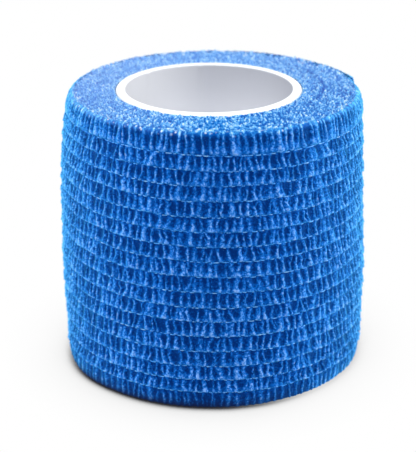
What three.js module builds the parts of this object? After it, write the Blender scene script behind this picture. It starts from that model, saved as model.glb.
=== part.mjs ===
// Roll of self-adherent elastic crepe hand wrap, wound on a plastic tube core.
//
// Millimetres, +Z up. The origin is the centre of the core's bottom rim and the
// roll stands on its end. Azimuth 0 faces -Y and azimuth 90 faces +X.
//
// The strip is a laminate: a nonwoven face web (outer), a row of elastic threads
// and a nonwoven back web (inner). Strip angle is azimuth in degrees, growing
// inwards from the free end. Along it come the tail, a chain of short laminate
// segments; the outer turn, built as separate plies; and the inner turns, one
// spiral ribbon.

import * as THREE from "three";

// ---- driving dimensions ------------------------------------------------

const STRIP_LOW = 0.1; // lower edge, just clear of the surface the roll stands on
const STRIP_HIGH = 49.8; // upper edge
const STRIP_MID = (STRIP_LOW + STRIP_HIGH) / 2;
const STRIP_HALF_WIDTH = (STRIP_HIGH - STRIP_LOW) / 2;

const CORE_OUTER_R = 16.85;
const CORE_BORE_R = 15.1;
const CORE_HEIGHT = 50.5; // the core stands a little proud of the strip
const CORE_RIM_ROUND = 0.4;
const CORE_RIM_INSET = 0.3 * CORE_RIM_ROUND; // of the point midway round a rim corner
const CORE_SEGMENTS = 60;

const ROLL_OUTER_R = 28.4; // outer surface of the strip at its free end, at mid height
const WINDING_START_R = 17.1; // innermost radius allowed for the winding
const TURN_PITCH = 0.68; // radial build-up of one turn
const BARREL = 1.1; // how far the ends of the roll pull in from mid height

const LAMINATE = 0.58; // thickness of the strip
const WEB = 0.15; // thickness of each nonwoven web
const THREAD_HALF = 0.11; // half the diagonal of a thread's square section
const THREAD_HEIGHTS = [
  3.2, 5.7, 8.3, 11.2, 14.1, 16.9, 19.5, 22.3, 25.2, 28.0, 30.6, 33.3, 35.9,
  38.7, 41.3, 43.9, 46.5,
];

// Strip angles, degrees
const FOLD_STEP = 12; // between the strip's fold lines
const FREE_END = 105;
const TAIL_SEGMENTS = 4;
const TAIL_SEGMENT_ANGLE = 24;
const TAIL_ROOT = FREE_END + TAIL_SEGMENTS * TAIL_SEGMENT_ANGLE; // tail meets outer turn
const TURN_END = FREE_END + 360; // outer turn meets the inner turns

const CUT_GAP = 0.3; // clearance between neighbouring lengths of the strip, mm
const HALF_GAP = THREE.MathUtils.radToDeg(CUT_GAP / ROLL_OUTER_R) / 2; // degrees

const TOLERANCE = 1e-6; // keeps a fold line at either end from being listed twice

// ---- the strip's path ---------------------------------------------------

// How far the roll has pulled in at height z. Inner turns are straighter.
function pullIn(z, radius) {
  const share = (radius - WINDING_START_R) / (ROLL_OUTER_R - WINDING_START_R);
  return BARREL * Math.abs((z - STRIP_MID) / STRIP_HALF_WIDTH) * share;
}

// A point on the true spiral, `depth` below the strip's outer surface.
function spiralPoint(angle, depth, z) {
  const surface = ROLL_OUTER_R - (TURN_PITCH * (angle - FREE_END)) / 360;
  const radius = surface - depth - pullIn(z, surface);
  const azimuth = THREE.MathUtils.degToRad(angle);
  return new THREE.Vector3(radius * Math.sin(azimuth), -radius * Math.cos(azimuth), z);
}

// The same point on the folded strip, which runs straight between fold lines so
// that every ply and turn nests with the next.
function stripPoint(angle, depth, z) {
  const fold = FREE_END + Math.floor((angle - FREE_END) / FOLD_STEP) * FOLD_STEP;
  const nextPoint = spiralPoint(fold + FOLD_STEP, depth, z);
  return spiralPoint(fold, depth, z).lerp(nextPoint, (angle - fold) / FOLD_STEP);
}

// Both end angles and every fold line between them.
function stations(from, to) {
  const angles = [from];
  const firstStep = Math.ceil((from - FREE_END) / FOLD_STEP + TOLERANCE);
  let angle = FREE_END + firstStep * FOLD_STEP;
  for (; angle < to - TOLERANCE; angle += FOLD_STEP) angles.push(angle);
  angles.push(to);
  return angles;
}

// ---- solids --------------------------------------------------------------

// Closed solid that carries a section along the strip. `corners` are [depth, z],
// running up the outer side and down the inner. `outline` is the same section
// as flat points, used to triangulate the end caps.
function sweepAlongStrip(from, to, corners, outline) {
  const angles = stations(from, to);
  const points = angles.flatMap((angle) =>
    corners.map(([depth, z]) => stripPoint(angle, depth, z)),
  );
  const count = corners.length;
  const lastSection = (angles.length - 1) * count;

  const index = [];
  for (let start = 0; start < lastSection; start += count) {
    for (let j = 0; j < count; j++) {
      const here = start + j;
      const beside = start + ((j + 1) % count);
      index.push(here, beside + count, beside);
      index.push(here, here + count, beside + count);
    }
  }
  for (const [a, b, c] of THREE.ShapeUtils.triangulateShape(outline, [])) {
    index.push(a, b, c);
    index.push(lastSection + a, lastSection + c, lastSection + b);
  }

  const geometry = new THREE.BufferGeometry().setFromPoints(points);
  geometry.setIndex(index);
  geometry.computeVertexNormals();
  return geometry;
}

// A ply over the strip's whole width, between two depths below its outer surface.
function ply(from, to, top, bottom) {
  const corners = [
    [top, STRIP_LOW],
    [top, STRIP_MID],
    [top, STRIP_HIGH],
    [bottom, STRIP_HIGH],
    [bottom, STRIP_MID],
    [bottom, STRIP_LOW],
  ];
  const outline = corners.map(
    ([depth, z]) => new THREE.Vector2(-depth - pullIn(z, ROLL_OUTER_R), z),
  );
  return sweepAlongStrip(from, to, corners, outline);
}

// One elastic thread midway between the webs, square in section, set on a corner.
function thread(from, to, height) {
  const middle = LAMINATE / 2;
  const corners = [
    [middle - THREAD_HALF, height],
    [middle, height + THREAD_HALF],
    [middle + THREAD_HALF, height],
    [middle, height - THREAD_HALF],
  ];
  const outline = corners.map(([depth, z]) => new THREE.Vector2(-depth, z));
  return sweepAlongStrip(from, to, corners, outline);
}

// The core, with the corners of both rims rounded.
function coreTube() {
  // [radius, height] from bore to outer wall; the top rim mirrors it
  const bottomRim = [
    [CORE_BORE_R, CORE_RIM_ROUND],
    [CORE_BORE_R + CORE_RIM_INSET, CORE_RIM_INSET],
    [CORE_BORE_R + CORE_RIM_ROUND, 0],
    [CORE_OUTER_R - CORE_RIM_ROUND, 0],
    [CORE_OUTER_R - CORE_RIM_INSET, CORE_RIM_INSET],
    [CORE_OUTER_R, CORE_RIM_ROUND],
  ];
  const topRim = bottomRim.map(([radius, z]) => [radius, CORE_HEIGHT - z]).reverse();
  const profile = [...bottomRim, ...topRim, bottomRim[0]].map(
    ([radius, z]) => new THREE.Vector2(radius, z),
  );
  const geometry = new THREE.LatheGeometry(profile, CORE_SEGMENTS);
  geometry.rotateX(Math.PI / 2); // lathe axis from Y to Z
  return geometry;
}

// ---- materials -------------------------------------------------------------

const nonMetal = ({ color, roughness }) =>
  new THREE.MeshStandardMaterial({ color, roughness, metalness: 0 });

const wrapBlue = nonMetal({ color: 0x1555a6, roughness: 0.85 });
const wrapBack = nonMetal({ color: 0x1a5cad, roughness: 0.9 });
const threadBlue = nonMetal({ color: 0x4f93dc, roughness: 0.6 });
const corePlastic = nonMetal({ color: 0xf2f3f5, roughness: 0.35 });

// ---- assembly --------------------------------------------------------------

function add(parent, name, geometry, material) {
  const mesh = new THREE.Mesh(geometry, material);
  mesh.name = name;
  parent.add(mesh);
}

// The inner turns: as many whole fold steps as fit outside WINDING_START_R.
function addInnerTurns(parent) {
  const turns = (ROLL_OUTER_R - LAMINATE - WINDING_START_R) / TURN_PITCH - 1;
  const windingEnd = TURN_END + Math.floor((turns * 360) / FOLD_STEP) * FOLD_STEP;
  const geometry = ply(TURN_END + HALF_GAP, windingEnd, 0, LAMINATE);
  add(parent, "bandage_winding", geometry, wrapBlue);
}

// The outer turn from the tail's root inwards: two webs with threads between.
function addOuterTurn(parent) {
  const from = TAIL_ROOT + HALF_GAP;
  const to = TURN_END - HALF_GAP;
  add(parent, "outer_turn_face_web", ply(from, to, 0, WEB), wrapBlue);
  add(parent, "outer_turn_back_web", ply(from, to, LAMINATE - WEB, LAMINATE), wrapBack);
  THREAD_HEIGHTS.forEach((height, i) => {
    const name = "elastic_thread_" + String(i + 1).padStart(2, "0");
    add(parent, name, thread(from, to, height), threadBlue);
  });
}

// The tail segments, numbered from the root out to the free end.
function addTail(parent) {
  for (let i = 1; i <= TAIL_SEGMENTS; i++) {
    const outerGap = i < TAIL_SEGMENTS ? HALF_GAP : 0; // none at the free end
    const from = TAIL_ROOT - TAIL_SEGMENT_ANGLE * i + outerGap;
    const to = TAIL_ROOT - TAIL_SEGMENT_ANGLE * (i - 1) - HALF_GAP;
    add(parent, "tail_segment_" + i, ply(from, to, 0, LAMINATE), wrapBlue);
  }
}

const handWrap = new THREE.Group();
handWrap.name = "hand_wrap";
add(handWrap, "core_tube", coreTube(), corePlastic);

const roll = new THREE.Group();
handWrap.add(roll);
addInnerTurns(roll);
addOuterTurn(roll);

const tail = new THREE.Group();
handWrap.add(tail);
addTail(tail);

export default handWrap;
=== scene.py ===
import math

import bpy
import numpy as np
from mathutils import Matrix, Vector


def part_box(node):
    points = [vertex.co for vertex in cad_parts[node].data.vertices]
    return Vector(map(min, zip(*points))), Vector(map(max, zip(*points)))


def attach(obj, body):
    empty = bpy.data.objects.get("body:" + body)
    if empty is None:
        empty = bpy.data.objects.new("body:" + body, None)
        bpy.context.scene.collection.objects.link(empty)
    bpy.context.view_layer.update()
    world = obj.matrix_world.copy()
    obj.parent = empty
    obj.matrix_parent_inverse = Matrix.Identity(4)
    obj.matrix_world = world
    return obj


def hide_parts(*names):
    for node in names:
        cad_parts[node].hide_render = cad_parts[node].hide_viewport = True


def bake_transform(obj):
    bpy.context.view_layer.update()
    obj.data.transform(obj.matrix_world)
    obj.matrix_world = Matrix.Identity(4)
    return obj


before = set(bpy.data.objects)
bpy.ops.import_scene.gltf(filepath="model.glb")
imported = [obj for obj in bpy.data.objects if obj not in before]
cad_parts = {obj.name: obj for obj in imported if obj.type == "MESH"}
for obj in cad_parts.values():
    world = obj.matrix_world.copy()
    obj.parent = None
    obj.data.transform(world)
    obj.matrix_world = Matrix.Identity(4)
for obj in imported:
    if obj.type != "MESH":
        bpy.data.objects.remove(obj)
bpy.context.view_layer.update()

# ---------------------------------------------------------------------------
# Dimensions, in millimetres. The CAD solids give the strip's edges and the core;
# the strip's winding law is the one the solids were built on.
# ---------------------------------------------------------------------------
core_lo, core_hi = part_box("core_tube")
wind_lo, wind_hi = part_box("bandage_winding")
CORE_R = core_hi.x * 1000.0            # outside radius of the core tube
CORE_H = core_hi.z * 1000.0
CORE_BORE = CORE_R - 1.75
EDGE_LOW = wind_lo.z * 1000.0          # lower edge of the strip
EDGE_HIGH = wind_hi.z * 1000.0 + 0.45  # upper edge of the strip; the gathered edge stands a little above the solid's
MID_Z = (EDGE_LOW + EDGE_HIGH) / 2
HALF_Z = (EDGE_HIGH - EDGE_LOW) / 2

FREE_END = 105.0                       # strip angle of the free end
PITCH = 0.68                           # build-up of one turn
ROLL_R = 28.4                          # surface of the strip at its free end
SINK = 0.55                            # the cloth's mean surface lies under the crests
# outer profile of the roll at the front, and how much fuller it is to the right, by height
WALL_Z = [0.0, 6.0, 14.0, 24.0, 34.0, 43.0, 49.8]
WALL_R = [28.16, 28.18, 28.25, 28.12, 27.80, 27.20, 26.38]
WALL_OFF = [0.84, 0.98, 1.04, 0.90, 0.72, 0.88, 1.18]
TAIL_START = 213.0                     # where the loose tail leaves the fixed cloth
OUTER_END = FREE_END + 360.0           # where the outermost turn goes under the free end
FIXED_END = TAIL_START + 360.0
MEAN_R = 27.9                          # radius at which pleats are laid out

THREADS = [3.25, 5.66, 8.32, 11.21, 14.11, 16.89, 19.49, 22.33, 25.16, 27.99, 30.64,
           33.28, 35.94, 38.73, 41.33, 43.90, 46.52]


# ---------------------------------------------------------------------------
# Seeded noise
# ---------------------------------------------------------------------------
def smooth(a, b, x):
    t = np.clip((x - a) / (b - a), 0.0, 1.0)
    return t * t * (3 - 2 * t)


_lattice = {}


def noise2(x, y, seed, period=256):
    """Smooth value noise, about -1 to 1, on a unit lattice that repeats every `period` cells along x."""
    key = (seed, period)
    if key not in _lattice:
        _lattice[key] = np.random.default_rng(seed).random((256, period)) * 2 - 1
    g = _lattice[key]
    xi, yi = np.floor(x).astype(int), np.floor(y).astype(int)
    fx, fy = x - xi, y - yi
    fx, fy = fx * fx * (3 - 2 * fx), fy * fy * (3 - 2 * fy)
    x0, x1, y0, y1 = xi % period, (xi + 1) % period, yi % 256, (yi + 1) % 256
    top = g[y0, x0] * (1 - fx) + g[y0, x1] * fx
    low = g[y1, x0] * (1 - fx) + g[y1, x1] * fx
    return top * (1 - fy) + low * fy


def noise1(x, seed):
    return noise2(x, np.zeros_like(x) + 0.5, seed)


# ---------------------------------------------------------------------------
# The crepe: gathered pleats in rows between the elastic threads
# ---------------------------------------------------------------------------
def make_row(k):
    """The pleat crests of row k as arrays, sorted along the strip."""
    rng = np.random.default_rng(4000 + k)
    x = math.radians(96) * MEAN_R
    end = math.radians(582) * MEAN_R
    rows = []
    while x < end:
        step = float(np.clip(rng.normal(1.31, 0.27), 0.74, 2.05))
        x += step
        wide = float(np.clip(rng.lognormal(-1.00, 0.37), 0.18, 0.66))
        rows.append((x, rng.normal(0, 0.17), rng.uniform(0.03, 0.17), rng.uniform(0.5, 1.5),
                     rng.uniform(0, 6.28), wide, rng.uniform(0.60, 1.0),
                     rng.uniform(-0.05, 0.12), rng.uniform(0.86, 1.15)))
        if rng.random() < 0.30:        # a lesser fold inside the valley
            rows.append((x + step * rng.uniform(0.38, 0.62), rng.normal(0, 0.28),
                         rng.uniform(0.05, 0.2), rng.uniform(0.5, 1.4), rng.uniform(0, 6.28),
                         rng.uniform(0.12, 0.2), rng.uniform(0.25, 0.55),
                         rng.uniform(0.0, 0.45), rng.uniform(0.5, 1.0)))
    a = np.array(rows)
    a = a[np.argsort(a[:, 0])]
    return a


ROWS = [make_row(k) for k in range(len(THREADS) + 1)]


def thread_height(k, x):
    """Height of thread k at strip position x; the wound strip dips a little to the right, and the threads wander."""
    a = x / MEAN_R
    dip = float(np.interp(THREADS[k], [2.0, 25.0, 47.0], [-0.03, -0.50, -0.44]))
    sag = float(np.interp(THREADS[k], [2.0, 25.0, 47.0], [0.44, 0.02, 0.02]))
    return (THREADS[k] + dip * np.sin(a) + sag * np.maximum(np.cos(a) - 1, -0.9)
            + 0.12 * noise1(x / 9.0 + 31.7 * k, 71) + 0.05 * noise1(x / 2.3 + 11.3 * k, 72)
            + 0.08 * noise1(x / 40.0, 73))


def crepe(x, w):
    """Displacement (mm), crest share and place in the row, for strip positions x (mm) and heights w (mm)."""
    disp = np.zeros_like(x)
    crest = np.zeros_like(x)
    place = np.zeros_like(x)
    lines = [np.full_like(x, -2.0)] + [thread_height(k, x) for k in range(len(THREADS))] + [np.full_like(x, 50.9)]
    warp = 0.07 * noise2(x / 0.55, w / 0.50, 81) + 0.045 * noise2(x / 0.26, w / 0.24, 86)
    ragged = 1 + 0.18 * noise2(x / 0.34, w / 0.42, 87)
    for k in range(len(THREADS) + 1):
        low, high = lines[k], lines[k + 1]
        m = (w >= low) & (w < high)
        if not m.any():
            continue
        xs, ws = x[m] + warp[m], w[m]
        v = (ws - low[m]) / (high[m] - low[m])
        row = ROWS[k]
        i = np.searchsorted(row[:, 0], xs)
        best = np.zeros_like(xs)
        for off in (-3, -2, -1, 0, 1, 2):
            c = row[np.clip(i + off, 0, len(row) - 1)]
            line = c[:, 0] + c[:, 1] * (v - 0.4) * 2 + c[:, 2] * np.sin(6.283 * v * c[:, 3] + c[:, 4])
            width = c[:, 5] * (0.78 + 0.80 * (1 - smooth(0.0, 0.48, v)))
            fade = smooth(c[:, 7] - 0.12, c[:, 7] + 0.06, v) * (1 - smooth(c[:, 8] - 0.10, c[:, 8] + 0.12, v))
            value = c[:, 6] * (0.25 + 0.75 * fade) * np.exp(-(np.abs(xs - line) / width) ** 1.8)
            best = np.maximum(best, value)
        rise = smooth(0.0, 0.13, v)
        tier = rise * (1 - 0.52 * smooth(0.30, 1.0, v))
        base = 0.15 * rise * (1 - smooth(0.15, 1.0, v))
        best = np.clip(best * ragged[m], 0, 1.1)
        disp[m] = base + 0.56 * best * (0.16 + 0.84 * tier)
        # the crest share carries painted light and shade: dimmer just above the lower thread and near the row's top
        crest[m] = best * (0.45 + 0.55 * rise) * (1 - 0.40 * smooth(0.6, 1.0, v))
        place[m] = v
    web = noise2(x / 0.46, w / 0.46, 82)
    fine = noise2(x / 0.23, w / 0.23, 83)
    fold = 1 - np.abs(noise2(x / 0.62 + 0.8 * web, w / 1.3, 88))
    disp += 0.035 * web + 0.025 * fine + 0.045 * (fold - 0.6)
    crest += (0.12 * web + 0.09 * fine + 0.16 * (fold - 0.62)) * (1 - 0.35 * np.clip(crest, 0, 1))
    crest = np.clip(crest, 0, 1)
    disp += 0.10 * noise2(x / 7.0, w / 9.0, 84)
    return disp, crest, place


# ---------------------------------------------------------------------------
# The roll's form
# ---------------------------------------------------------------------------
def hermite(x, xs, ys):
    """Smooth curve through the points, with slopes taken from the neighbours."""
    xs, ys = np.asarray(xs, float), np.asarray(ys, float)
    m = np.gradient(ys, xs)
    i = np.clip(np.searchsorted(xs, x) - 1, 0, len(xs) - 2)
    h = xs[i + 1] - xs[i]
    t = np.clip((x - xs[i]) / h, 0, 1)
    return ((2 * t ** 3 - 3 * t ** 2 + 1) * ys[i] + (t ** 3 - 2 * t ** 2 + t) * h * m[i]
            + (-2 * t ** 3 + 3 * t ** 2) * ys[i + 1] + (t ** 3 - t ** 2) * h * m[i + 1])


def wall_radius(s, z):
    """Mean surface of the strip. The roll is a soft barrel, wound a little fuller to its right."""
    z = np.asarray(z, float)
    r = hermite(z, WALL_Z, WALL_R) + hermite(z, WALL_Z, WALL_OFF) * np.sin(np.radians(s)) - SINK
    away = np.abs((z - MID_Z) / HALF_Z)
    # the foot spreads a little, front left; the upper edge leans back
    a = (np.asarray(s, float) + 180) % 360 - 180
    r = r + (1 - smooth(0.0, 6.0, z)) * (0.35 * np.exp(-((a + 55) / 22) ** 2) - 0.15 * np.clip(np.cos(np.radians(a)), 0, 1))
    r = r - 0.50 * (1 - smooth(3.0, 14.0, z)) * np.exp(-((a + 98) / 24) ** 2)
    r = r + 0.30 * (1 - smooth(0.0, 7.0, z)) * np.exp(-((a - 66) / 22) ** 2)
    r = r + 0.30 * smooth(25.0, 50.0, z) * (1 - np.cos(np.radians(a))) / 2
    return r - PITCH * (s - 360) / 360 + 0.08 * noise1(np.asarray(s, float) / 17.0, 91) * away


def shoulders(s):
    """Rounding radius of the roll's upper and lower edge."""
    loose = 1 - smooth(201.0, 226.0, s)
    hidden = smooth(OUTER_END - 4, OUTER_END + 3, s)
    top = 0.55 * (1 - loose) + 0.40 * loose + 0.12 * noise1(s / 11.0, 92)
    low = 0.42 + 0 * s
    return top + 0.05 * hidden, low + 0.1 * hidden


def cloth_point(s, j, extra=0.0, flat=None):
    """Points of the strip's outer surface. s: strip angle (2-D), j: 0 to 1 from lower to upper edge."""
    top, low = shoulders(s)
    w0 = EDGE_LOW + low * (1 - math.pi / 2)
    w1 = EDGE_HIGH + top * (math.pi / 2 - 1)
    w = w0 + (w1 - w0) * j
    zl, zh = EDGE_LOW + low, EDGE_HIGH - top
    th = np.clip((w - zh) / top, 0, math.pi / 2)
    tl = np.clip((zl - w) / low, 0, math.pi / 2)
    z0 = np.clip(w, zl, zh)
    r = wall_radius(s, z0) - top * (1 - np.cos(th)) - low * (1 - np.cos(tl))
    z = z0 + top * np.sin(th) - low * np.sin(tl)
    nr = np.cos(th) * np.cos(tl)
    nz = np.sin(th) - np.sin(tl)
    x = np.radians(s) * MEAN_R
    disp, crest, place = crepe(x, w)
    if flat is not None:
        disp = disp * flat
    # the gathered edge stands up unevenly
    edge = smooth(1 - 0.035, 1.0, j)
    z_extra = edge * (0.06 * noise1(x / 0.65, 95) + 0.10 * noise1(x / 2.9, 97))
    # pressed flat where the roll stands on its edge
    d = disp * (0.25 + 0.75 * smooth(0.3, 2.4, w - EDGE_LOW)) * (1 - 0.5 * smooth(-0.9, 0.1, w - EDGE_HIGH)) + extra
    r = r + nr * d
    z = z + nz * d + z_extra
    z = np.maximum(z, 0.02)
    a = np.radians(s)
    rim = smooth(1 - 0.024, 1 - 0.006, j)
    return np.stack([r * np.sin(a), -r * np.cos(a), z], -1), crest, place, x, w, rim


# ---------------------------------------------------------------------------
# Mesh helpers
# ---------------------------------------------------------------------------
def grid_faces(rows, cols, start=0, flip=False, wrap=False):
    i, j = np.meshgrid(np.arange(rows - 1), np.arange(cols if wrap else cols - 1), indexing="ij")
    n = (j + 1) % cols
    a, b = start + i * cols + j, start + i * cols + n
    c, d = a + cols, start + (i + 1) * cols + n
    f = np.stack([a, b, d, c], -1).reshape(-1, 4)
    return f[:, ::-1] if flip else f


def build(name, verts, faces, attrs=None, material=None, mats=None, slots=None, uv=None):
    me = bpy.data.meshes.new(name)
    me.from_pydata(np.asarray(verts, np.float64).reshape(-1, 3) / 1000.0, [], [tuple(f) for f in faces.tolist()]
                   if isinstance(faces, np.ndarray) else faces)
    me.update()
    for key, (kind, values) in (attrs or {}).items():
        at = me.attributes.new(key, kind, "POINT")
        at.data.foreach_set("vector" if kind == "FLOAT_VECTOR" else "value", np.asarray(values, np.float32).ravel())
    me.polygons.foreach_set("use_smooth", np.ones(len(me.polygons), bool))
    ob = bpy.data.objects.new(name, me)
    bpy.context.scene.collection.objects.link(ob)
    for m in (mats or [material]):
        me.materials.append(m)
    if slots is not None:
        me.polygons.foreach_set("material_index", np.asarray(slots, np.int32))
    if uv is not None:
        layer = me.uv_layers.new(name="UVMap")
        idx = np.zeros(len(me.loops), np.int32)
        me.loops.foreach_get("vertex_index", idx)
        layer.data.foreach_set("uv", np.asarray(uv, np.float32).reshape(-1, 2)[idx].ravel())
    me.validate()
    return ob


# ---------------------------------------------------------------------------
# Materials
# ---------------------------------------------------------------------------
def new_material(name):
    m = bpy.data.materials.new(name)
    m.use_nodes = True
    nt = m.node_tree
    return m, nt, nt.nodes["Principled BSDF"]


def node(nt, kind, **inputs):
    n = nt.nodes.new(kind)
    for k, v in inputs.items():
        if k in n.inputs:
            n.inputs[k].default_value = v
        else:
            setattr(n, k, v)
    return n


def maths(nt, op, a, b=None, clamp=False):
    n = nt.nodes.new("ShaderNodeMath")
    n.operation = op
    n.use_clamp = clamp
    for i, v in enumerate((a, b)):
        if v is None:
            continue
        if isinstance(v, (int, float)):
            n.inputs[i].default_value = v
        else:
            nt.links.new(v, n.inputs[i])
    return n.outputs[0]


def ramp(nt, fac, stops, interpolation="LINEAR"):
    n = nt.nodes.new("ShaderNodeValToRGB")
    cr = n.color_ramp
    cr.interpolation = interpolation
    while len(cr.elements) < len(stops):
        cr.elements.new(0.5)
    for e, (p, c) in zip(cr.elements, stops):
        e.position = p
        e.color = (*c, 1.0)
    nt.links.new(fac, n.inputs["Fac"])
    return n.outputs["Color"]


def strip_noise(nt, vector, scale, rotation=0.0, stretch=(1, 1), detail=3.0, rough=0.6, distortion=0.0, offset=0.0):
    mp = nt.nodes.new("ShaderNodeMapping")
    mp.inputs["Rotation"].default_value = (0, 0, math.radians(rotation))
    mp.inputs["Scale"].default_value = (stretch[0], stretch[1], 1)
    mp.inputs["Location"].default_value = (offset, offset * 0.7, offset * 1.3)
    nt.links.new(vector, mp.inputs["Vector"])
    n = nt.nodes.new("ShaderNodeTexNoise")
    n.inputs["Scale"].default_value = scale
    n.inputs["Detail"].default_value = detail
    n.inputs["Roughness"].default_value = rough
    n.inputs["Distortion"].default_value = distortion
    nt.links.new(mp.outputs["Vector"], n.inputs["Vector"])
    return n.outputs[0]


def wrap_material(name, stops, sheen=0.5, gain=1.0, lift=0.0, painted_sheen=0.0):
    m, nt, p = new_material(name)
    crest = node(nt, "ShaderNodeAttribute", attribute_name="crest").outputs["Fac"]
    place = node(nt, "ShaderNodeAttribute", attribute_name="place").outputs["Fac"]
    strip = node(nt, "ShaderNodeAttribute", attribute_name="strip").outputs["Vector"]
    web = strip_noise(nt, strip, 2.6, detail=5, rough=0.68, distortion=0.5)
    fib1 = strip_noise(nt, strip, 3.4, rotation=28, stretch=(3.6, 0.7), detail=3, distortion=0.35, offset=3.1)
    fib2 = strip_noise(nt, strip, 3.4, rotation=-38, stretch=(3.6, 0.7), detail=3, distortion=0.35, offset=9.7)
    fib = maths(nt, "MAXIMUM", fib1, fib2)
    wide = strip_noise(nt, strip, 0.16, detail=2, offset=21.0)
    # painted shade and light: the value runs from the dark floor of a pleat to its lit crest
    # the nonwoven is granular: short fibres and specks of latex break up every lit crest
    grain = nt.nodes.new("ShaderNodeMapRange")
    grain.inputs["From Min"].default_value, grain.inputs["From Max"].default_value = 0.40, 0.61
    nt.links.new(strip_noise(nt, strip, 3.0, detail=2, rough=0.6, distortion=0.3, offset=5.5), grain.inputs["Value"])
    v = maths(nt, "MULTIPLY", crest, maths(nt, "ADD", 0.53 * gain, maths(nt, "MULTIPLY", grain.outputs[0], 0.58 * gain)))
    v = maths(nt, "ADD", v, maths(nt, "MULTIPLY", maths(nt, "SUBTRACT", grain.outputs[0], 0.5), 0.12))
    v = maths(nt, "ADD", v, lift)
    v = maths(nt, "ADD", v, maths(nt, "MULTIPLY", maths(nt, "SUBTRACT", web, 0.5), 1.1))
    v = maths(nt, "ADD", v, maths(nt, "MULTIPLY", maths(nt, "SUBTRACT", fib, 0.56), 0.75))
    v = maths(nt, "ADD", v, maths(nt, "MULTIPLY", maths(nt, "SUBTRACT", wide, 0.5), 0.14))
    # painted light: the lower part of every row flares out to face the light and is painted paler; the flat web just
    # under a thread is paler too
    low = nt.nodes.new("ShaderNodeMapRange")
    low.inputs["From Min"].default_value, low.inputs["From Max"].default_value = 0.02, 0.45
    low.inputs["To Min"].default_value, low.inputs["To Max"].default_value = 0.20, 0.0
    nt.links.new(place, low.inputs["Value"])
    v = maths(nt, "ADD", v, low.outputs[0])
    high = nt.nodes.new("ShaderNodeMapRange")
    high.inputs["From Min"].default_value, high.inputs["From Max"].default_value = 0.80, 1.0
    high.inputs["To Min"].default_value, high.inputs["To Max"].default_value = 0.0, 0.11
    nt.links.new(place, high.inputs["Value"])
    v = maths(nt, "ADD", v, high.outputs[0], clamp=True)
    colour = ramp(nt, v, stops)
    # painted highlights: pale dots where fibres catch the light
    dots = nt.nodes.new("ShaderNodeTexVoronoi")
    dots.inputs["Scale"].default_value = 1.9
    nt.links.new(strip, dots.inputs["Vector"])
    dot = nt.nodes.new("ShaderNodeMapRange")
    dot.inputs["From Min"].default_value, dot.inputs["From Max"].default_value = 0.17, 0.07
    dot.inputs["To Min"].default_value, dot.inputs["To Max"].default_value = 0.0, 0.55
    nt.links.new(dots.outputs["Distance"], dot.inputs["Value"])
    mixd = nt.nodes.new("ShaderNodeMix")
    mixd.data_type = "RGBA"
    nt.links.new(maths(nt, "MULTIPLY", dot.outputs[0], maths(nt, "ADD", maths(nt, "MULTIPLY", v, 0.8), 0.15)), mixd.inputs["Factor"])
    nt.links.new(colour, mixd.inputs["A"])
    hue = strip_noise(nt, strip, 0.75, detail=2, offset=61.0)
    nt.links.new(ramp(nt, hue, [(0.42, (0.10, 0.50, 0.97)), (0.54, (0.20, 0.50, 0.95)), (0.62, (0.38, 0.42, 0.90))]), mixd.inputs["B"])
    # near its upper rim the cloth takes the wound edges' paler colours: partly the edge's own tone, partly painted
    # light from above
    rim = node(nt, "ShaderNodeAttribute", attribute_name="rim").outputs["Fac"]
    mixr = nt.nodes.new("ShaderNodeMix")
    mixr.data_type = "RGBA"
    nt.links.new(rim, mixr.inputs["Factor"])
    nt.links.new(mixd.outputs["Result"], mixr.inputs["A"])
    nt.links.new(ramp(nt, v, EDGE_STOPS), mixr.inputs["B"])
    # painted haze: the upper edges are mixed towards a pale periwinkle, standing in for light on them
    painted_haze = node(nt, "ShaderNodeAttribute", attribute_name="painted_haze").outputs["Fac"]
    mixb = nt.nodes.new("ShaderNodeMix")
    mixb.data_type = "RGBA"
    nt.links.new(maths(nt, "MULTIPLY", painted_haze, 0.42), mixb.inputs["Factor"])
    nt.links.new(mixr.outputs["Result"], mixb.inputs["A"])
    mixb.inputs["B"].default_value = (0.46, 0.57, 0.98, 1)
    # painted glints: bright specks along the rim, where cut fibres stand up and catch the light
    glint = nt.nodes.new("ShaderNodeTexVoronoi")
    glint.inputs["Scale"].default_value = 1.15
    nt.links.new(strip, glint.inputs["Vector"])
    spark = nt.nodes.new("ShaderNodeMapRange")
    spark.inputs["From Min"].default_value, spark.inputs["From Max"].default_value = 0.32, 0.17
    nt.links.new(glint.outputs["Distance"], spark.inputs["Value"])
    some = nt.nodes.new("ShaderNodeMapRange")
    some.inputs["From Min"].default_value, some.inputs["From Max"].default_value = 0.46, 0.56
    nt.links.new(strip_noise(nt, strip, 0.55, detail=1, offset=40.0), some.inputs["Value"])
    mixg = nt.nodes.new("ShaderNodeMix")
    mixg.data_type = "RGBA"
    nt.links.new(maths(nt, "MULTIPLY", maths(nt, "MULTIPLY", spark.outputs[0], some.outputs[0]),
                       maths(nt, "MULTIPLY", rim, 0.85)), mixg.inputs["Factor"])
    nt.links.new(mixb.outputs["Result"], mixg.inputs["A"])
    mixg.inputs["B"].default_value = (0.86, 0.94, 1.0, 1)
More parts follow.
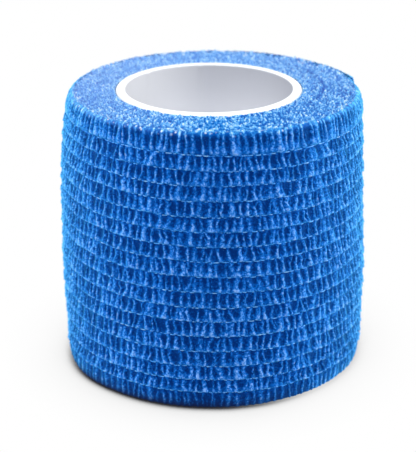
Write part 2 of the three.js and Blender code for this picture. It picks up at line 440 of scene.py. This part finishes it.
    # painted shade: the turned-under edge is painted towards navy as its own contact shade, low down and in front
    # most of all; its sheen is cut there too
    where = nt.nodes.new("ShaderNodeNewGeometry").outputs["Position"]
    axes = nt.nodes.new("ShaderNodeSeparateXYZ")
    nt.links.new(where, axes.inputs[0])
    front = maths(nt, "ADD", maths(nt, "MULTIPLY", axes.outputs[1], -45.0), maths(nt, "MULTIPLY", axes.outputs[0], -26.0))
    front = maths(nt, "SUBTRACT", front, 0.25, clamp=True)
    foot = ramp(nt, maths(nt, "MULTIPLY", axes.outputs[2], 200.0, clamp=True),
                [(0.0, (0.0,) * 3), (0.07, (0.05,) * 3), (0.13, (0.20,) * 3), (0.21, (0.50,) * 3), (0.34, (0.80,) * 3), (0.55, (0.95,) * 3), (0.85, (1.0,) * 3)])
    shade = maths(nt, "SUBTRACT", 1.0, maths(nt, "MULTIPLY", front, maths(nt, "SUBTRACT", 1.0, foot)))
    painted_contact_shade = nt.nodes.new("ShaderNodeMix")
    painted_contact_shade.data_type = "RGBA"
    nt.links.new(shade, painted_contact_shade.inputs["Factor"])
    painted_contact_shade.inputs["A"].default_value = (0.008, 0.019, 0.080, 1)
    if painted_sheen:
        # painted sheen: seen at a slant the base colour is painted paler over the dark pleats, as loose surface
        # fibres catch the light
        turn = nt.nodes.new("ShaderNodeVectorTransform")
        turn.vector_type, turn.convert_from, turn.convert_to = "NORMAL", "OBJECT", "WORLD"
        nt.links.new(node(nt, "ShaderNodeAttribute", attribute_name="out").outputs["Vector"], turn.inputs[0])
        flat_in = nt.nodes.new("ShaderNodeVectorMath")
        flat_in.operation = "MULTIPLY"
        nt.links.new(nt.nodes.new("ShaderNodeNewGeometry").outputs["Incoming"], flat_in.inputs[0])
        flat_in.inputs[1].default_value = (1, 1, 0)
        unit = nt.nodes.new("ShaderNodeVectorMath")
        unit.operation = "NORMALIZE"
        nt.links.new(flat_in.outputs[0], unit.inputs[0])
        facing = nt.nodes.new("ShaderNodeVectorMath")
        facing.operation = "DOT_PRODUCT"
        nt.links.new(unit.outputs[0], facing.inputs[0])
        nt.links.new(turn.outputs[0], facing.inputs[1])
        slant = maths(nt, "SUBTRACT", 1.0, maths(nt, "ABSOLUTE", facing.outputs["Value"]), clamp=True)
        mixv = nt.nodes.new("ShaderNodeMix")
        mixv.data_type = "RGBA"
        fibres = maths(nt, "ADD", 0.12, maths(nt, "MULTIPLY", v, 1.55))
        nt.links.new(maths(nt, "MULTIPLY", maths(nt, "POWER", slant, 1.85), maths(nt, "MULTIPLY", fibres, painted_sheen)), mixv.inputs["Factor"])
        nt.links.new(mixg.outputs["Result"], mixv.inputs["A"])
        mixv.inputs["B"].default_value = (0.14, 0.66, 1.0, 1)
        nt.links.new(mixv.outputs["Result"], painted_contact_shade.inputs["B"])
    else:
        nt.links.new(mixg.outputs["Result"], painted_contact_shade.inputs["B"])
    nt.links.new(painted_contact_shade.outputs["Result"], p.inputs["Base Color"])
    rough = maths(nt, "SUBTRACT", 0.92, maths(nt, "MULTIPLY", v, 0.22))
    nt.links.new(rough, p.inputs["Roughness"])
    p.inputs["Specular IOR Level"].default_value = 0.04
    nt.links.new(maths(nt, "MULTIPLY", shade, sheen), p.inputs["Sheen Weight"])
    p.inputs["Sheen Roughness"].default_value = 0.42
    p.inputs["Sheen Tint"].default_value = (0.07, 0.62, 0.90, 1)
    bump = nt.nodes.new("ShaderNodeBump")
    bump.inputs["Strength"].default_value = 0.55
    bump.inputs["Distance"].default_value = 0.00012
    hgt = maths(nt, "ADD", maths(nt, "MULTIPLY", fib, 0.7), maths(nt, "MULTIPLY", web, 0.6))
    nt.links.new(hgt, bump.inputs["Height"])
    nt.links.new(bump.outputs["Normal"], p.inputs["Normal"])
    return m


SIDE_STOPS = [(0.0, (0.0002, 0.028, 0.19)), (0.20, (0.0004, 0.062, 0.35)),
              (0.46, (0.0030, 0.155, 0.64)), (0.74, (0.060, 0.280, 0.83)), (1.0, (0.22, 0.43, 0.91))]
# the wound edges are paler than the sides: partly the fibre ends' own tone, partly painted light from above
EDGE_STOPS = [(0.0, (0.0006, 0.085, 0.46)), (0.26, (0.004, 0.19, 0.68)),
              (0.52, (0.075, 0.40, 0.87)), (0.76, (0.27, 0.64, 0.98)), (1.0, (0.66, 0.88, 1.0))]
wrap_mat = wrap_material("wrap_crepe", SIDE_STOPS, sheen=0.86, lift=-0.015, painted_sheen=0.40)
edge_mat = wrap_material("wrap_edges", EDGE_STOPS, sheen=0.18, gain=1.08, lift=-0.07)
inner_mat = wrap_material("wrap_inside", SIDE_STOPS, sheen=0.3, gain=0.8, lift=0.05)


def thread_material():
    m, nt, p = new_material("elastic_thread")
    strip = node(nt, "ShaderNodeAttribute", attribute_name="strip").outputs["Vector"]
    a = strip_noise(nt, strip, 0.9, detail=3, rough=0.7)
    b = strip_noise(nt, strip, 5.5, detail=2, rough=0.6, offset=4.0)
    v = maths(nt, "ADD", maths(nt, "MULTIPLY", a, 0.75), maths(nt, "MULTIPLY", b, 0.35))
    c = ramp(nt, v, [(0.38, (0.002, 0.10, 0.50)), (0.47, (0.015, 0.24, 0.82)), (0.55, (0.10, 0.44, 0.97)), (0.70, (0.35, 0.67, 1.0))])
    nt.links.new(c, p.inputs["Base Color"])
    p.inputs["Specular IOR Level"].default_value = 0.06
    nt.links.new(maths(nt, "ADD", 0.40, maths(nt, "MULTIPLY", b, 0.3)), p.inputs["Roughness"])
    bump = nt.nodes.new("ShaderNodeBump")
    bump.inputs["Strength"].default_value = 0.4
    bump.inputs["Distance"].default_value = 0.00004
    nt.links.new(b, bump.inputs["Height"])
    nt.links.new(bump.outputs["Normal"], p.inputs["Normal"])
    return m


thread_mat = thread_material()


def core_material():
    m, nt, p = new_material("core_plastic")
    tex = nt.nodes.new("ShaderNodeTexCoord")
    mp = nt.nodes.new("ShaderNodeMapping")
    mp.inputs["Scale"].default_value = (260, 260, 26)
    nt.links.new(tex.outputs["Object"], mp.inputs["Vector"])
    streak = nt.nodes.new("ShaderNodeTexNoise")
    streak.inputs["Scale"].default_value = 1.0
    streak.inputs["Detail"].default_value = 3
    nt.links.new(mp.outputs["Vector"], streak.inputs["Vector"])
    grain = nt.nodes.new("ShaderNodeTexNoise")
    grain.inputs["Scale"].default_value = 2600
    grain.inputs["Detail"].default_value = 2
    nt.links.new(tex.outputs["Object"], grain.inputs["Vector"])
    c = ramp(nt, streak.outputs[0], [(0.3, (0.90, 0.905, 0.915)), (0.7, (0.95, 0.955, 0.96))])
    sepp = nt.nodes.new("ShaderNodeSeparateXYZ")
    nt.links.new(tex.outputs["Object"], sepp.inputs[0])
    rad = maths(nt, "SQRT", maths(nt, "ADD", maths(nt, "MULTIPLY", sepp.outputs[0], sepp.outputs[0]),
                                  maths(nt, "MULTIPLY", sepp.outputs[1], sepp.outputs[1])))
    wall = nt.nodes.new("ShaderNodeMapRange")
    wall.inputs["From Min"].default_value = (CORE_BORE + 0.02) / 1000
    wall.inputs["From Max"].default_value = (CORE_BORE + 0.16) / 1000
    nt.links.new(rad, wall.inputs["Value"])
    inside = nt.nodes.new("ShaderNodeMix")
    inside.data_type = "RGBA"
    # painted shade and light: the bore's wall is painted darker just under the rim, paler deeper down and paler on
    # the left
    painted_bore_shading = ramp(nt, maths(nt, "MULTIPLY", sepp.outputs[2], 20.0, clamp=True),
                [(0.0, (0.86, 0.87, 0.91)), (0.72, (0.88, 0.89, 0.94)), (0.80, (0.83, 0.845, 0.90)), (0.92, (0.62, 0.635, 0.69)), (1.0, (0.50, 0.515, 0.57))])
    painted_left_light = nt.nodes.new("ShaderNodeMix")
    painted_left_light.data_type = "RGBA"
    nt.links.new(maths(nt, "MULTIPLY", sepp.outputs[0], -52.0, clamp=True), painted_left_light.inputs["Factor"])
    nt.links.new(painted_bore_shading, painted_left_light.inputs["A"])
    painted_left_light.inputs["B"].default_value = (0.95, 0.955, 0.97, 1)
    nt.links.new(painted_left_light.outputs["Result"], inside.inputs["A"])
    nt.links.new(wall.outputs[0], inside.inputs["Factor"])
    nt.links.new(c, inside.inputs["B"])
    nt.links.new(inside.outputs["Result"], p.inputs["Base Color"])
    nt.links.new(maths(nt, "ADD", 0.30, maths(nt, "MULTIPLY", streak.outputs[0], 0.2)), p.inputs["Roughness"])
    p.inputs["Specular IOR Level"].default_value = 0.4
    bump = nt.nodes.new("ShaderNodeBump")
    bump.inputs["Strength"].default_value = 0.12
    bump.inputs["Distance"].default_value = 0.00005
    nt.links.new(maths(nt, "ADD", streak.outputs[0], maths(nt, "MULTIPLY", grain.outputs[0], 0.3)), bump.inputs["Height"])
    nt.links.new(bump.outputs["Normal"], p.inputs["Normal"])
    return m


core_mat = core_material()

# ---------------------------------------------------------------------------
# The outermost turn and the turn that shows under the loose tail
# ---------------------------------------------------------------------------
DS = 0.3
NJ = 330


def painted_haze_share(s):
    """How much painted haze makes the upper edges paler: behind, and most of all on the left."""
    a = np.radians(s)
    return 0.29 * (1 - np.cos(a)) + 0.50 * np.clip(-np.sin(a), 0, 1) + 0.10 * np.clip(np.sin(a), 0, 1)


def strip_attrs(crest, place, x, w, rim):
    strip = np.stack([x, w, np.zeros_like(x)], -1)
    painted_haze = 0.6 * rim * painted_haze_share(np.degrees(x / MEAN_R))
    return {"crest": ("FLOAT", np.clip(crest + 0.12 * rim, 0, 1)), "place": ("FLOAT", place),
            "strip": ("FLOAT_VECTOR", strip), "rim": ("FLOAT", rim), "painted_haze": ("FLOAT", painted_haze),
            "out": ("FLOAT_VECTOR", outward(x))}


def outward(x):
    """Level direction away from the roll's axis, for strip positions x (mm)."""
    a = x / MEAN_R
    return np.stack([np.sin(a), -np.cos(a), 0 * a], -1)


def cloth_sector(name, s0, s1, material):
    n = int(round((s1 - s0) / DS)) + 1
    s, j = np.meshgrid(np.linspace(s0, s1, n), np.linspace(0, 1, NJ + 1), indexing="ij")
    # under the tail the cloth is pressed flatter
    flat = 1 - 0.55 * smooth(OUTER_END - 0.5, OUTER_END + 2.5, s)
    pts, crest, place, x, w, rim = cloth_point(s, j, flat=flat)
    uv = np.stack([(s - s0) / (s1 - s0), j], -1)
    return build(name, pts, grid_faces(n, NJ + 1, flip=True), strip_attrs(crest, place, x, w, rim), material, uv=uv)


outer_names = ["outer_turn_left_back", "outer_turn_left", "outer_turn_front", "outer_turn_right"]
for i, nm in enumerate(outer_names):
    ob = cloth_sector(nm, TAIL_START + 63 * i, TAIL_START + 63 * (i + 1), wrap_mat)
    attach(ob, "roll")
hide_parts("outer_turn_face_web", "outer_turn_back_web")
under = []
for i, nm in enumerate(["second_turn_right_back", "second_turn_back"]):
    ob = cloth_sector(nm, OUTER_END + 54 * i, OUTER_END + 54 * (i + 1), wrap_mat)
    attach(ob, "roll")
    under.append(ob)


# ---------------------------------------------------------------------------
# Elastic threads
# ---------------------------------------------------------------------------
THREAD_R = 0.084


def thread_tube(k, s0, s1, step=0.45, sides=6):
    n = int(round((s1 - s0) / step)) + 1
    s = np.linspace(s0, s1, n)
    x = np.radians(s) * MEAN_R
    z = thread_height(k, x)
    # over the valleys the thread lies bare, at the crests it sinks into the gathers
    _, above, _ = crepe(x, z + 0.34)
    _, below, _ = crepe(x, z - 0.30)
    cover = np.clip(np.maximum(above, 0.6 * below), 0, 1)
    pressed = 1 - 0.6 * smooth(OUTER_END - 0.5, OUTER_END + 2.5, s)
    depth = (0.10 - 0.22 * smooth(0.22, 0.75, cover) + 0.07 * noise1(x / 1.3, 140 + k)
             + 0.05 * noise1(x / 6.0, 160 + k)) * pressed
    r = wall_radius(s, z) + depth + 0.10 * noise2(x / 7.0, z / 9.0, 84)
    z = z + 0.03 * noise1(x / 0.9, 170 + k)
    rad = THREAD_R * (1 + 0.22 * noise1(x / 1.6, 200 + k))
    t = np.linspace(0, 2 * math.pi, sides, endpoint=False)
    rr = r[:, None] + rad[:, None] * np.cos(t)
    zz = z[:, None] + rad[:, None] * np.sin(t)
    a = np.radians(s)[:, None]
    pts = np.stack([rr * np.sin(a), -rr * np.cos(a), zz], -1).reshape(-1, 3)
    faces = grid_faces(n, sides, flip=True, wrap=True)
    xx = np.repeat(x[:, None], sides, 1)
    strip = np.stack([xx, zz, np.zeros_like(zz) + k], -1).reshape(-1, 3)
    caps = [list(range(sides)), [len(pts) - 1 - i for i in range(sides)]]
    return pts, faces, strip, caps


for k in range(len(THREADS)):
    pts, faces, strip, caps = thread_tube(k, TAIL_START, FIXED_END)
    fl = [tuple(f) for f in faces.tolist()] + [tuple(c) for c in caps]
    n = len(pts)
    ob = build("wrap_thread_%02d" % (k + 1), pts, fl,
               {"strip": ("FLOAT_VECTOR", strip)}, thread_mat)
    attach(ob, "roll")
    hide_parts("elastic_thread_%02d" % (k + 1))


# ---------------------------------------------------------------------------
# The loose tail: cloth with both faces, in four lengths
# ---------------------------------------------------------------------------
def tail_piece(index, s0, s1):
    """A length of the tail from strip angle s0 down to s1, closed all round."""
    n = int(round((s0 - s1) / DS)) + 1
    s, j = np.meshgrid(np.linspace(s0, s1, n), np.linspace(0, 1, NJ + 1), indexing="ij")
    top, crest, place, x, w, hem = cloth_point(s, j)
    # the inner face follows the outer one, softened, a strip's thickness below
    inner, c2, p2, _, _, _ = cloth_point(s, j, extra=-0.34 - 0.20 * smooth(0.955, 0.99, j), flat=0.5)
    hem = np.concatenate([hem.ravel(), hem.ravel()])
    # painted light: the inner face is painted paler along its upper edge, where it looks over the inner turns and
    # would else lie dark in its own shade
    lip = smooth(0.955, 0.985, j).ravel()
    lip = np.concatenate([0 * lip, lip])
    painted_haze = (0.8 * hem + 0.8 * lip) * painted_haze_share(np.concatenate([s.ravel(), s.ravel()]))
    pts = np.concatenate([top.reshape(-1, 3), inner.reshape(-1, 3)])
    m = n * (NJ + 1)
    faces = [grid_faces(n, NJ + 1), grid_faces(n, NJ + 1, start=m, flip=True)]
    cols = NJ + 1
    def rim(ids):
        a, b = ids[:-1], ids[1:]
        return np.stack([a, b, b + m, a + m], -1)
    lower = np.arange(n) * cols
    upper = np.arange(n) * cols + NJ
    first = np.arange(cols)
    last = (n - 1) * cols + np.arange(cols)
    faces += [rim(lower)[:, ::-1], rim(upper), rim(first), rim(last)[:, ::-1]]
    count = sum(len(f) for f in faces)
    crest = np.clip(np.concatenate([crest.ravel(), 0.7 * c2.ravel()]) + 0.25 * hem + 0.30 * lip, 0, 1)
    place = np.concatenate([place.ravel(), p2.ravel()])
    strip = np.concatenate([np.stack([x, w, np.zeros_like(x)], -1).reshape(-1, 3),
                            np.stack([x + 300, w, np.zeros_like(x)], -1).reshape(-1, 3)])
    out = outward(np.concatenate([x.ravel(), x.ravel()]))
    allf = [tuple(f) for f in np.concatenate(faces).tolist()]
    slots = [0] * count
    for k in range(len(THREADS)):
        tp, tf, ts, caps = thread_tube(k, s1, s0)
        base = len(pts)
        pts = np.concatenate([pts, tp])
        crest = np.concatenate([crest, np.ones(len(tp))])
        place = np.concatenate([place, np.zeros(len(tp))])
        hem = np.concatenate([hem, np.zeros(len(tp))])
        painted_haze = np.concatenate([painted_haze, np.zeros(len(tp))])
        strip = np.concatenate([strip, ts])
        out = np.concatenate([out, np.tile([[0.0, 0.0, 1.0]], (len(tp), 1))])
        add = [tuple(int(v) + base for v in f) for f in tf.tolist()] + [tuple(v + base for v in c) for c in caps]
        allf += add
        slots += [1] * len(add)
    ob = build("tail_length_%d" % index, pts, allf,
               {"crest": ("FLOAT", crest), "place": ("FLOAT", place), "strip": ("FLOAT_VECTOR", strip),
                "rim": ("FLOAT", hem), "painted_haze": ("FLOAT", painted_haze), "out": ("FLOAT_VECTOR", out)},
               mats=[wrap_mat, thread_mat], slots=slots)
    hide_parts("tail_segment_%d" % index)
    return ob


def on_wall(s):
    r = float(wall_radius(np.array(s), np.array(25.0))) / 1000
    a = math.radians(s)
    return (r * math.sin(a), -r * math.cos(a), 0.025)


tail_bounds = [213.0, 189.0, 165.0, 141.0, 105.0]
for i in range(4):
    ob = tail_piece(i + 1, tail_bounds[i], tail_bounds[i + 1])
    on_wall(213.0 - 24 * i)
    on_wall(189.0 - 24 * i)
    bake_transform(ob)


# ---------------------------------------------------------------------------
# The wound edges of the inner turns, top and bottom
# ---------------------------------------------------------------------------
def edge_face(name, up):
    na = int(round(360 / DS))
    nr = 74
    s, q = np.meshgrid(np.linspace(TAIL_START, FIXED_END, na + 1), np.linspace(0, 1, nr + 1), indexing="ij")
    top, low = shoulders(s)
    turn_in = top if up else low
    r_out = wall_radius(s, EDGE_HIGH - turn_in if up else EDGE_LOW + turn_in) - turn_in * 0.80
    r_in = CORE_R + 0.03
    r_out = r_out + 0.10 + 0.20 * smooth(462, 472, s)
    r = r_in + (r_out - r_in) * q
    seed = 300 if up else 330
    # each turn's edge is a gathered ribbon, so it wanders across its own pitch
    N = 130
    turn = (ROLL_R - PITCH * (s - FREE_END) / 360 - r) / PITCH
    a_cells = s / 360.0
    wig = 0.42 * noise2(a_cells * 110, turn * 0.9, seed + 1, 110) + 0.30 * noise2(a_cells * 240, turn * 1.7, seed + 2, 240)
    ring = 0.5 + 0.5 * np.cos(2 * math.pi * (turn + wig))
    g1 = noise2(a_cells * 340, r / 0.33, seed + 3, 340)
    g2 = noise2(a_cells * 640, r / 0.20, seed + 4, 640)
    g3 = noise2(a_cells * 60, r / 1.6, seed + 5, 60)
    h = 0.30 * (ring - 0.5) + 0.24 * g1 + 0.14 * g2 + 0.10 * g3
    # painted haze on the top face: paler, with weaker pleat contrast, behind and most of all on the left
    painted_haze = painted_haze_share(s) if up else 0 * s
    crest = np.clip(0.46 + 0.20 * painted_haze + (1 - 0.62 * painted_haze) * (0.36 * (ring - 0.5) + 0.52 * g1 + 0.40 * g2), 0, 1)
    # near the core the turns stand a touch higher and tighter
    near = 1 - smooth(0.0, 0.16, q)
    h = h * (1 - 0.45 * near)
    crest = np.clip(crest + 0.16 * near, 0, 1)
    # a slack gap between two turns, right of the core
    groove_r = 19.6 + 0.055 * (s - 430)
    arc = smooth(418, 432, s) * (1 - smooth(478, 500, s))
    cut = arc * np.exp(-((r - groove_r) / 0.22) ** 2) if up else 0 * r
    h = h - 0.45 * cut
    # painted shade: the gap is also painted darker
    crest = np.clip(crest - 0.45 * cut, 0, 1)
    level = (EDGE_HIGH - 0.22 + 0.24 * near + 0.14 * smooth(0.90, 1.0, q)
             + 0.14 * smooth(462, 472, s) * smooth(0.78, 1.0, q)) if up else (EDGE_LOW + 0.34)
    z = level + (h if up else -h)
    z = np.maximum(z, 0.02)
    a = np.radians(s)
    pts = np.stack([r * np.sin(a), -r * np.cos(a), z], -1)
    x = a_cells * 138.0
    strip = np.stack([x, r * 1.0, np.full_like(r, 50.0 if up else 90.0)], -1)
    place = np.full_like(r, 0.45)
    return build(name, pts, grid_faces(na + 1, nr + 1, flip=up),
                 {"crest": ("FLOAT", crest), "place": ("FLOAT", place), "strip": ("FLOAT_VECTOR", strip),
                  "rim": ("FLOAT", smooth(0.62, 1.0, q)), "painted_haze": ("FLOAT", painted_haze)}, edge_mat)


top_face = edge_face("wound_edges_top", True)
low_face = edge_face("wound_edges_bottom", False)
for ob in (top_face, low_face):
    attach(ob, "roll")
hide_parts("bandage_winding")


def winding_bore():
    n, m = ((540, 170))
    s, j = np.meshgrid(np.linspace(0, 360, n + 1), np.linspace(0, 1, m + 1), indexing="ij")
    w = EDGE_LOW + 0.3 + (EDGE_HIGH - EDGE_LOW - 0.5) * j
    x = np.radians(s + 120) * MEAN_R
    disp, crest, place = crepe(x, w)
    seam = np.minimum(s, 360 - s)
    fade = smooth(0.0, 2.0, seam)
    disp = disp * fade
    r = CORE_R + 0.34 - 0.42 * disp
    a = np.radians(s)
    pts = np.stack([r * np.sin(a), -r * np.cos(a), w], -1)
    ob = build("winding_inner_face", pts, grid_faces(n + 1, m + 1),
               strip_attrs(crest * fade, place, x, w, np.zeros_like(x)), inner_mat)
    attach(ob, "roll")
    return ob


winding_bore()


# ---------------------------------------------------------------------------
# The core tube
# ---------------------------------------------------------------------------
def core():
    b, o, h = CORE_BORE, CORE_R, CORE_H
    e = 0.42
    prof = []
    def arc(cx, cz, a0, a1, rad, n=6):
        for i in range(n + 1):
            a = math.radians(a0 + (a1 - a0) * i / n)
            prof.append((cx + rad * math.cos(a), cz + rad * math.sin(a)))
    ri = 0.24
    arc(b + ri, ri, 180, 270, ri)
    arc(o - e, e, 270, 360, e)
    for z in np.linspace(e, h - e, 12)[1:-1]:
        prof.append((o, float(z)))
    arc(o - e, h - e, 0, 90, e)
    arc(b + ri, h - ri, 90, 180, ri)
    for z in np.linspace(h - ri, ri, 14)[1:-1]:
        prof.append((b, float(z)))
    prof = np.array(prof)
    n = 360
    ang = np.linspace(0, 2 * math.pi, n, endpoint=False)
    a, i = np.meshgrid(ang, np.arange(len(prof)), indexing="ij")
    r, z = prof[i, 0], prof[i, 1]
    # slightly out of round, as a moulded tube squeezed by its roll
    r = r * (1 + 0.0012 * np.cos(2 * a + 0.6)) - 0.02
    # nicks in the inner edge of the rim
    for az, wdt, dep in ((229.0, 1.5, 0.40), (186.0, 1.2, 0.30), (150.0, 0.9, 0.14), (318.0, 1.2, 0.16)):
        d = (np.degrees(a) - az + 180) % 360 - 180
        near = np.exp(-(d / wdt) ** 2) * np.exp(-((r - (b + 0.12)) / 0.45) ** 2) * np.exp(-((z - (h - 0.15)) / 0.5) ** 2)
        r = r - dep * 0.55 * near
        z = z - dep * 0.35 * near
    pts = np.stack([r * np.sin(a), -r * np.cos(a), z], -1).reshape(-1, 3)
    m = len(prof)
    ii, jj = np.meshgrid(np.arange(n), np.arange(m), indexing="ij")
    i2, j2 = (ii + 1) % n, (jj + 1) % m
    f = np.stack([ii * m + jj, i2 * m + jj, i2 * m + j2, ii * m + j2], -1).reshape(-1, 4)
    ob = build("core_tube_smooth", pts, f, material=core_mat)
    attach(ob, "core")
    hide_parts("core_tube")
    return ob


core_ob = core()


# ---------------------------------------------------------------------------
# Stage, light and camera
# ---------------------------------------------------------------------------
# how bright the floor is seen, by how open it is: a thin dark line of contact, then soon white
CONTACT_STOPS = [(0.44, 0.0), (0.50, 0.02), (0.576, 0.22), (0.676, 0.60), (0.77, 0.84), (0.86, 0.95), (1.0, 1.0)]
HALO_STOPS = [(0.48, 0.60), (0.52, 0.68), (0.545, 0.76), (0.59, 0.85), (0.635, 0.90), (0.72, 0.945), (0.84, 0.975), (1.0, 1.0)]
bpy.ops.mesh.primitive_plane_add(size=6.0, location=(0, 0, 0))
floor = bpy.context.object
floor.name = "studio_floor"
fm, fnt, fp = new_material("studio_floor")
fout = [n for n in fnt.nodes if n.type == "OUTPUT_MATERIAL"][0]
fnt.nodes.remove(fp)
dif = fnt.nodes.new("ShaderNodeBsdfDiffuse")
dif.inputs["Color"].default_value = (0.50, 0.50, 0.51, 1)
emi = fnt.nodes.new("ShaderNodeEmission")
emi.inputs["Color"].default_value = (1, 1, 1, 1)
lp = fnt.nodes.new("ShaderNodeLightPath")
def openness(distance, stops):
    ao = fnt.nodes.new("ShaderNodeAmbientOcclusion")
    ao.samples = 16
    ao.inputs["Distance"].default_value = distance
    return ramp(fnt, ao.outputs["AO"], [(v, (g, g, g)) for v, g in stops])


# painted shadow: to the camera the floor is an emission, darkened by these ambient occlusion ramps into a contact
# shadow, more in front of the roll than at its sides
grey = openness(0.0022, CONTACT_STOPS)
halo = openness(0.014, HALO_STOPS)
fpos = fnt.nodes.new("ShaderNodeNewGeometry").outputs["Position"]
fax = fnt.nodes.new("ShaderNodeSeparateXYZ")
fnt.links.new(fpos, fax.inputs[0])
reach = maths(fnt, "SQRT", maths(fnt, "ADD", maths(fnt, "MULTIPLY", fax.outputs[0], fax.outputs[0]),
                                 maths(fnt, "MULTIPLY", fax.outputs[1], fax.outputs[1])))
ahead = maths(fnt, "ADD", fax.outputs[1], maths(fnt, "MULTIPLY", fax.outputs[0], 0.45))
ahead = maths(fnt, "DIVIDE", maths(fnt, "MULTIPLY", ahead, -1.0), maths(fnt, "ADD", reach, 0.0001))
weight = fnt.nodes.new("ShaderNodeMapRange")
weight.interpolation_type = "SMOOTHSTEP"
weight.inputs["From Min"].default_value, weight.inputs["From Max"].default_value = 0.40, 1.0
weight.inputs["To Min"].default_value, weight.inputs["To Max"].default_value = 0.10, 1.0
fnt.links.new(ahead, weight.inputs["Value"])
open_share = maths(fnt, "SUBTRACT", 1.0, maths(fnt, "MULTIPLY", weight.outputs[0], maths(fnt, "SUBTRACT", 1.0, grey)))
spread = maths(fnt, "ADD", 0.55, maths(fnt, "MULTIPLY", weight.outputs[0], 0.45))
open_share = maths(fnt, "MULTIPLY", open_share, maths(fnt, "SUBTRACT", 1.0, maths(fnt, "MULTIPLY", spread, maths(fnt, "SUBTRACT", 1.0, halo))))
shade = fnt.nodes.new("ShaderNodeMix")
shade.data_type = "RGBA"
shade.inputs["A"].default_value = (0.022, 0.024, 0.034, 1)
shade.inputs["B"].default_value = (1, 1, 1, 1)
fnt.links.new(open_share, shade.inputs["Factor"])
fnt.links.new(shade.outputs["Result"], emi.inputs["Color"])
by_ray = fnt.nodes.new("ShaderNodeMixShader")
fnt.links.new(lp.outputs["Is Camera Ray"], by_ray.inputs[0])
fnt.links.new(dif.outputs[0], by_ray.inputs[1])
fnt.links.new(emi.outputs[0], by_ray.inputs[2])
fnt.links.new(by_ray.outputs[0], fout.inputs["Surface"])
floor.data.materials.append(fm)

world = bpy.data.worlds.new("studio")
bpy.context.scene.world = world
world.use_nodes = True
wnt = world.node_tree
for n in list(wnt.nodes):
    wnt.nodes.remove(n)
wout = wnt.nodes.new("ShaderNodeOutputWorld")
bg_cam = wnt.nodes.new("ShaderNodeBackground")
bg_cam.inputs["Color"].default_value = (1, 1, 1, 1)
bg_cam.inputs["Strength"].default_value = 1.05
bg = wnt.nodes.new("ShaderNodeBackground")
tc = wnt.nodes.new("ShaderNodeTexCoord")
sep = wnt.nodes.new("ShaderNodeSeparateXYZ")
wnt.links.new(tc.outputs["Generated"], sep.inputs[0])
mr = wnt.nodes.new("ShaderNodeMapRange")
mr.interpolation_type = "SMOOTHSTEP"
mr.inputs["From Min"].default_value, mr.inputs["From Max"].default_value = -0.35, 0.55
mr.inputs["To Min"].default_value, mr.inputs["To Max"].default_value = 0.42, 0.60
wnt.links.new(sep.outputs["Y"], mr.inputs["Value"])
bg.inputs["Color"].default_value = (0.93, 0.96, 1.0, 1)
wnt.links.new(mr.outputs[0], bg.inputs["Strength"])
wlp = wnt.nodes.new("ShaderNodeLightPath")
mixw = wnt.nodes.new("ShaderNodeMixShader")
wnt.links.new(wlp.outputs["Is Camera Ray"], mixw.inputs[0])
wnt.links.new(bg.outputs[0], mixw.inputs[1])
wnt.links.new(bg_cam.outputs[0], mixw.inputs[2])
wnt.links.new(mixw.outputs[0], wout.inputs["Surface"])


def area(name, loc, target, size, power, colour=(1, 1, 1)):
    l = bpy.data.lights.new(name, "AREA")
    l.shape = "RECTANGLE"
    l.size, l.size_y = size
    l.energy = power
    l.color = colour
    o = bpy.data.objects.new(name, l)
    bpy.context.scene.collection.objects.link(o)
    o.location = loc
    o.rotation_euler = (Vector(target) - Vector(loc)).to_track_quat("-Z", "Y").to_euler()
    return o


area("top_soft", (0.0, -0.10, 0.80), (0, 0, 0.03), (0.6, 0.5), 2.6)
area("front_soft", (-0.10, -0.80, 0.45), (0, 0, 0.03), (0.45, 0.35), 2.4)
# low strip lights at both sides
# (they graze the cloth only: the plastic core is left to the light from above)
shaded = bpy.data.collections.new("not_side_lit")
shaded.objects.link(core_ob)
shaded.collection_objects[0].light_linking.link_state = "EXCLUDE"
for nm, az, power in (("side_soft_left", -95, 4.8), ("side_soft_right", 95, 5.6)):
    t = math.radians(az)
    strip_light = area(nm, (0.747 * math.sin(t), -0.747 * math.cos(t), 0.090), (0, 0, 0.025), (0.5, 0.12), power)
    strip_light.light_linking.receiver_collection = shaded
# and the core has its own weak light from both sides above, which reaches down into the bore
inward = bpy.data.collections.new("core_lit")
inward.objects.link(core_ob)
for nm, az, power in (("core_soft_right", 80, 2.4), ("core_soft_left", -80, 1.7)):
    t = math.radians(az)
    core_light = area(nm, (0.50 * math.sin(t), -0.50 * math.cos(t), 0.60), (0, 0, 0.040), (0.3, 0.3), power)
    core_light.light_linking.receiver_collection = inward

cam_data = bpy.data.cameras.new("camera")
cam = bpy.data.objects.new("camera", cam_data)
bpy.context.scene.collection.objects.link(cam)
cam.location = (0.0, -0.2426, 0.1216)
cam.rotation_euler = (math.radians(90 - 22.026), 0, 0)
cam_data.lens = 111.01
cam_data.sensor_width = 36
cam_data.sensor_fit = "AUTO"
cam_data.shift_x = -0.00205
cam_data.shift_y = 0.0
cam_data.clip_start = 0.01
cam_data.clip_end = 20
bpy.context.scene.camera = cam
aim = bpy.data.objects.new("focus_centre", None)
bpy.context.scene.collection.objects.link(aim)
aim.location = (0, 0, 0.030)
cam_data.dof.use_dof = True
cam_data.dof.aperture_fstop = 34
drv = cam_data.dof.driver_add("focus_distance").driver
drv.type = "SCRIPTED"
var = drv.variables.new()
var.name = "d"
var.type = "LOC_DIFF"
var.targets[0].id = cam
var.targets[1].id = aim
drv.expression = "d - 0.020"

bpy.context.scene.view_settings.view_transform = "Standard"
bpy.context.scene.view_settings.look = "None"
